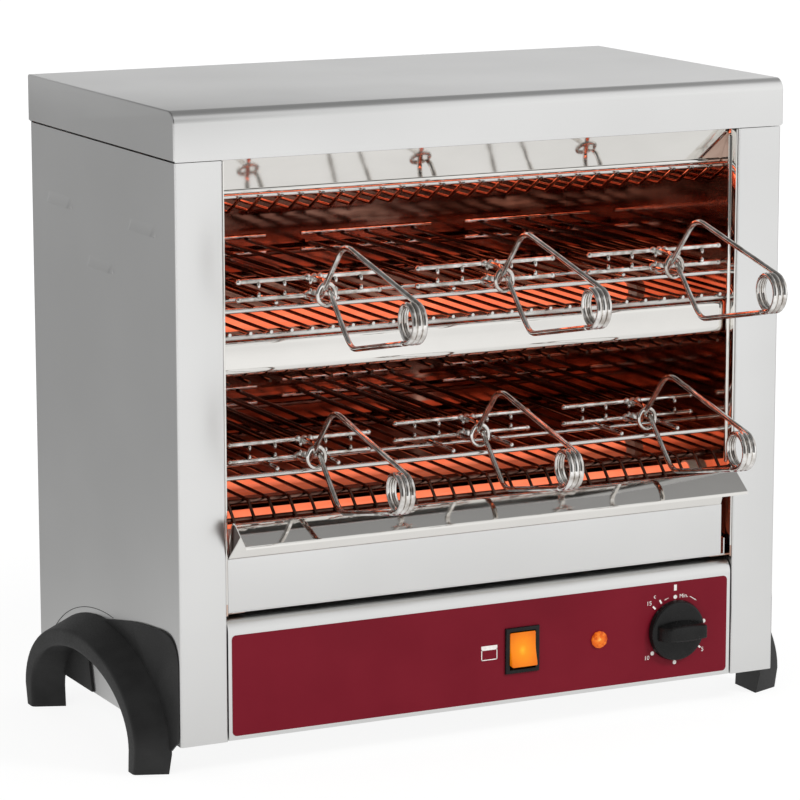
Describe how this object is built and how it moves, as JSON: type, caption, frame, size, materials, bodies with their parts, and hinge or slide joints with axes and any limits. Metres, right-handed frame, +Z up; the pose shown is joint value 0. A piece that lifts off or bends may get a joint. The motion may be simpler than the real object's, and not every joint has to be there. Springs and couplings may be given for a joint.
{
  "type": "clamp toaster",
  "caption": "Two-level quartz toaster in satin steel with sprung wire tongs on racks, a pull-out crumb tray, a rocker switch, a lamp and a timer.",
  "frame": {"origin": "middle of the bounding box on the floor", "axes": "+X to the toaster's right seen from the front, -Y out of the open front, +Z up"},
  "size_m": [0.494, 0.4263, 0.439],
  "materials": {
    "satin_steel": "satin brushed",
    "mirror_steel": "polished",
    "chrome_wire": "bright plated",
    "quartz_glass": "clear, lit from inside",
    "heating_element": "glowing",
    "porcelain": "unglazed",
    "red_label": "printed film",
    "black_plastic": "moulded",
    "black_feet": "grained",
    "lit_rocker": "moulded, translucent",
    "lamp_lens": "moulded, translucent",
    "plated_screws": "zinc plated"
  },
  "bodies": {
    "cabinet": {"top_cover": "satin_steel", "left_side_panel": "satin_steel", "right_side_panel": "satin_steel", "rear_panel": "satin_steel", "base_plate": "satin_steel", "control_panel": "satin_steel", "left_liner": "mirror_steel", "right_liner": "mirror_steel", "rear_reflector": "mirror_steel", "top_reflector": "mirror_steel", "top_baffle": "mirror_steel", "mid_fascia": "mirror_steel", "top_guard": "chrome_wire", "mid_floor_guard": "chrome_wire", "mid_roof_guard": "chrome_wire", "lower_guard": "chrome_wire", "upper_rack": "chrome_wire", "lower_rack": "chrome_wire", "quartz_tubes": "quartz_glass", "filaments": "heating_element", "tube_end_caps": "porcelain", "terminal_block": "porcelain", "panel_label": "red_label", "switch_body": "black_plastic", "timer_body": "black_plastic", "cable_gland": "black_plastic", "left_foot": "black_feet", "right_foot": "black_feet", "pilot_lamp": "lamp_lens", "rear_screws": "plated_screws", "foot_screws": "plated_screws"},
    "tray": {"crumb_tray": "satin_steel"},
    "rocker": {"switch_rocker": "lit_rocker"},
    "knob": {"timer_knob": "black_plastic", "timer_shaft": "plated_screws"},
    "upper_left_tong": {"upper_left_tong_bottom_jaw": "chrome_wire", "upper_left_tong_spring_arm": "chrome_wire"},
    "upper_left_top_jaw": {"upper_left_tong_top_jaw": "chrome_wire", "upper_left_tong_lower_arm": "chrome_wire"},
    "upper_mid_tong": {"upper_mid_tong_bottom_jaw": "chrome_wire", "upper_mid_tong_spring_arm": "chrome_wire"},
    "upper_mid_top_jaw": {"upper_mid_tong_top_jaw": "chrome_wire", "upper_mid_tong_lower_arm": "chrome_wire"},
    "upper_right_tong": {"upper_right_tong_bottom_jaw": "chrome_wire", "upper_right_tong_spring_arm": "chrome_wire"},
    "upper_right_top_jaw": {"upper_right_tong_top_jaw": "chrome_wire", "upper_right_tong_lower_arm": "chrome_wire"},
    "lower_left_tong": {"lower_left_tong_bottom_jaw": "chrome_wire", "lower_left_tong_spring_arm": "chrome_wire"},
    "lower_left_top_jaw": {"lower_left_tong_top_jaw": "chrome_wire", "lower_left_tong_lower_arm": "chrome_wire"},
    "lower_mid_tong": {"lower_mid_tong_bottom_jaw": "chrome_wire", "lower_mid_tong_spring_arm": "chrome_wire"},
    "lower_mid_top_jaw": {"lower_mid_tong_top_jaw": "chrome_wire", "lower_mid_tong_lower_arm": "chrome_wire"},
    "lower_right_tong": {"lower_right_tong_bottom_jaw": "chrome_wire", "lower_right_tong_spring_arm": "chrome_wire"},
    "lower_right_top_jaw": {"lower_right_tong_top_jaw": "chrome_wire", "lower_right_tong_lower_arm": "chrome_wire"}
  },
  "joints": [
    {"name": "crumb_tray_slide", "type": "slide", "parent": "cabinet", "child": "tray", "axis": [0, -1, 0], "range_m": [0, 0.2]},
    {"name": "rocker_tip", "type": "hinge", "parent": "cabinet", "child": "rocker", "pos_m": [0.0263, -0.05282, 0.0599], "axis": [1, 0, 0], "range_deg": [0, 16]},
    {"name": "timer_turn", "type": "hinge", "parent": "cabinet", "child": "knob", "pos_m": [0.1465, -0.05563, 0.0599], "axis": [0, 1, 0], "range_deg": [-90, 243]},
    {"name": "upper_left_tong_slide", "type": "slide", "parent": "cabinet", "child": "upper_left_tong", "axis": [0, -1, 0], "range_m": [0, 0.2]},
    {"name": "upper_left_tong_squeeze", "type": "hinge", "parent": "upper_left_tong", "child": "upper_left_top_jaw", "pos_m": [-0.129, -0.19953, 0.3183], "axis": [1, 0, 0], "range_deg": [0, 3], "stiffness_Nm_per_rad": 15, "springref_deg": -1.15},
    {"name": "upper_mid_tong_slide", "type": "slide", "parent": "cabinet", "child": "upper_mid_tong", "axis": [0, -1, 0], "range_m": [0, 0.2]},
    {"name": "upper_mid_tong_squeeze", "type": "hinge", "parent": "upper_mid_tong", "child": "upper_mid_top_jaw", "pos_m": [0, -0.19953, 0.3183], "axis": [1, 0, 0], "range_deg": [0, 3], "stiffness_Nm_per_rad": 15, "springref_deg": -1.15},
    {"name": "upper_right_tong_slide", "type": "slide", "parent": "cabinet", "child": "upper_right_tong", "axis": [0, -1, 0], "range_m": [0, 0.2]},
    {"name": "upper_right_tong_squeeze", "type": "hinge", "parent": "upper_right_tong", "child": "upper_right_top_jaw", "pos_m": [0.129, -0.19953, 0.3183], "axis": [1, 0, 0], "range_deg": [0, 3], "stiffness_Nm_per_rad": 15, "springref_deg": -1.15},
    {"name": "lower_left_tong_slide", "type": "slide", "parent": "cabinet", "child": "lower_left_tong", "axis": [0, -1, 0], "range_m": [0, 0.2]},
    {"name": "lower_left_tong_squeeze", "type": "hinge", "parent": "lower_left_tong", "child": "lower_left_top_jaw", "pos_m": [-0.129, -0.18252, 0.2083], "axis": [1, 0, 0], "range_deg": [0, 3], "stiffness_Nm_per_rad": 15, "springref_deg": -1.15},
    {"name": "lower_mid_tong_slide", "type": "slide", "parent": "cabinet", "child": "lower_mid_tong", "axis": [0, -1, 0], "range_m": [0, 0.2]},
    {"name": "lower_mid_tong_squeeze", "type": "hinge", "parent": "lower_mid_tong", "child": "lower_mid_top_jaw", "pos_m": [0, -0.16553, 0.2083], "axis": [1, 0, 0], "range_deg": [0, 3], "stiffness_Nm_per_rad": 15, "springref_deg": -1.15},
    {"name": "lower_right_tong_slide", "type": "slide", "parent": "cabinet", "child": "lower_right_tong", "axis": [0, -1, 0], "range_m": [0, 0.2]},
    {"name": "lower_right_tong_squeeze", "type": "hinge", "parent": "lower_right_tong", "child": "lower_right_top_jaw", "pos_m": [0.129, -0.16553, 0.2083], "axis": [1, 0, 0], "range_deg": [0, 3], "stiffness_Nm_per_rad": 15, "springref_deg": -1.15}
  ]
}
